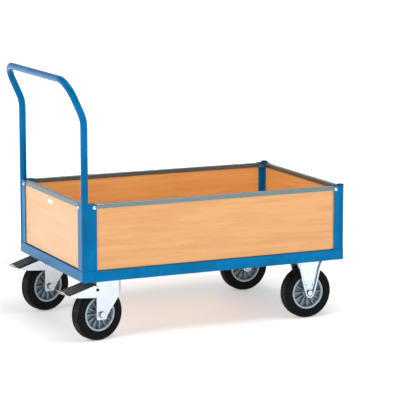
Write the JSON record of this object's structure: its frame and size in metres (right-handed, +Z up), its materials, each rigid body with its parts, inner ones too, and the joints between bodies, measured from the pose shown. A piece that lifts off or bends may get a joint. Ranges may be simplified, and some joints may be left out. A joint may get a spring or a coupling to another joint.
{
  "type": "box trolley",
  "caption": "Platform trolley with board walls on all sides, a bent tube push handle, fixed castors at the front and braked swivel castors at the handle.",
  "frame": {"origin": "bottom centre of the bounding box, on the floor", "axes": "+Z up, +X the direction of travel, away from the push handle; +Y to the left seen from the fixed castors' end, to the right seen from the handle looking back"},
  "size_m": [1.1738, 0.693, 0.9815],
  "materials": {
    "blue_paint": "satin powder coat",
    "beech_board": "beech decor board, satin",
    "deck_board": "board, satin",
    "galvanised_sheet": "galvanised, matt",
    "zinc_plated": "bright zinc plate",
    "bearing_steel": "plain ground",
    "black_plastic": "moulded, matt",
    "grey_plastic": "moulded, satin",
    "rubber_tyre": "solid rubber, matt"
  },
  "bodies": {
    "chassis": {"castor_bolts": "zinc_plated", "castor_carrier_front": "blue_paint", "castor_carrier_handle": "blue_paint", "castor_nuts": "zinc_plated", "centre_bearer": "blue_paint", "corner_profile_front_left": "blue_paint", "corner_profile_front_right": "blue_paint", "corner_profile_handle_left": "blue_paint", "corner_profile_handle_right": "blue_paint", "deck_board": "deck_board", "fixed_left_axle_bolt": "zinc_plated", "fixed_left_bracket": "zinc_plated", "fixed_right_axle_bolt": "zinc_plated", "fixed_right_bracket": "zinc_plated", "frame_end_front": "blue_paint", "frame_end_handle": "blue_paint", "frame_side_left": "blue_paint", "frame_side_right": "blue_paint", "front_post_left": "blue_paint", "front_post_right": "blue_paint", "panel_bolts": "zinc_plated", "panel_nuts": "zinc_plated", "post_plugs": "black_plastic", "push_handle": "blue_paint", "swivel_left_ball_race": "zinc_plated", "swivel_left_king_pin": "zinc_plated", "swivel_left_plate": "zinc_plated", "swivel_right_ball_race": "zinc_plated", "swivel_right_king_pin": "zinc_plated", "swivel_right_plate": "zinc_plated", "wall_cap_front": "galvanised_sheet", "wall_cap_handle": "galvanised_sheet", "wall_cap_left": "galvanised_sheet", "wall_cap_right": "galvanised_sheet", "wall_panel_front": "beech_board", "wall_panel_handle": "beech_board", "wall_panel_left": "beech_board", "wall_panel_right": "beech_board"},
    "swivel_left": {"swivel_left_fork": "zinc_plated", "swivel_left_brake_rivets": "zinc_plated", "swivel_left_axle_bolt": "zinc_plated"},
    "brake_left": {"swivel_left_brake_lever": "zinc_plated", "swivel_left_brake_pedal": "black_plastic"},
    "swivel_wheel_left": {"swivel_left_rim": "grey_plastic", "swivel_left_tyre": "rubber_tyre", "swivel_left_hub_bearing": "bearing_steel"},
    "fixed_wheel_left": {"fixed_left_rim": "grey_plastic", "fixed_left_tyre": "rubber_tyre", "fixed_left_hub_bearing": "bearing_steel"},
    "swivel_right": {"swivel_right_fork": "zinc_plated", "swivel_right_brake_rivets": "zinc_plated", "swivel_right_axle_bolt": "zinc_plated"},
    "brake_right": {"swivel_right_brake_lever": "zinc_plated", "swivel_right_brake_pedal": "black_plastic"},
    "swivel_wheel_right": {"swivel_right_rim": "grey_plastic", "swivel_right_tyre": "rubber_tyre", "swivel_right_hub_bearing": "bearing_steel"},
    "fixed_wheel_right": {"fixed_right_rim": "grey_plastic", "fixed_right_tyre": "rubber_tyre", "fixed_right_hub_bearing": "bearing_steel"}
  },
  "joints": [
    {"name": "swivel_left", "type": "hinge", "parent": "chassis", "child": "swivel_left", "pos_m": [-0.36264, -0.27004, 0.2227], "axis": [0, 0, 1], "continuous": true},
    {"name": "swivel_wheel_left_spin", "type": "hinge", "parent": "swivel_left", "child": "swivel_wheel_left", "pos_m": [-0.42133, -0.28251, 0.1], "axis": [-0.2079, 0.9781, 0], "continuous": true},
    {"name": "brake_left_press", "type": "hinge", "parent": "swivel_left", "child": "brake_left", "pos_m": [-0.43992, -0.28646, 0.195], "axis": [0.2079, -0.9781, 0], "range_deg": [0, 12]},
    {"name": "fixed_wheel_left_spin", "type": "hinge", "parent": "chassis", "child": "fixed_wheel_left", "pos_m": [0.45136, -0.27004, 0.1], "axis": [0, 1, 0], "continuous": true},
    {"name": "swivel_right", "type": "hinge", "parent": "chassis", "child": "swivel_right", "pos_m": [-0.36264, 0.27995, 0.2227], "axis": [0, 0, 1], "continuous": true},
    {"name": "swivel_wheel_right_spin", "type": "hinge", "parent": "swivel_right", "child": "swivel_wheel_right", "pos_m": [-0.42086, 0.26543, 0.1], "axis": [-0.2419, 0.9703, 0], "continuous": true},
    {"name": "brake_right_press", "type": "hinge", "parent": "swivel_right", "child": "brake_right", "pos_m": [-0.4393, 0.26084, 0.195], "axis": [0.2419, -0.9703, 0], "range_deg": [0, 12]},
    {"name": "fixed_wheel_right_spin", "type": "hinge", "parent": "chassis", "child": "fixed_wheel_right", "pos_m": [0.45136, 0.27995, 0.1], "axis": [0, 1, 0], "continuous": true}
  ]
}
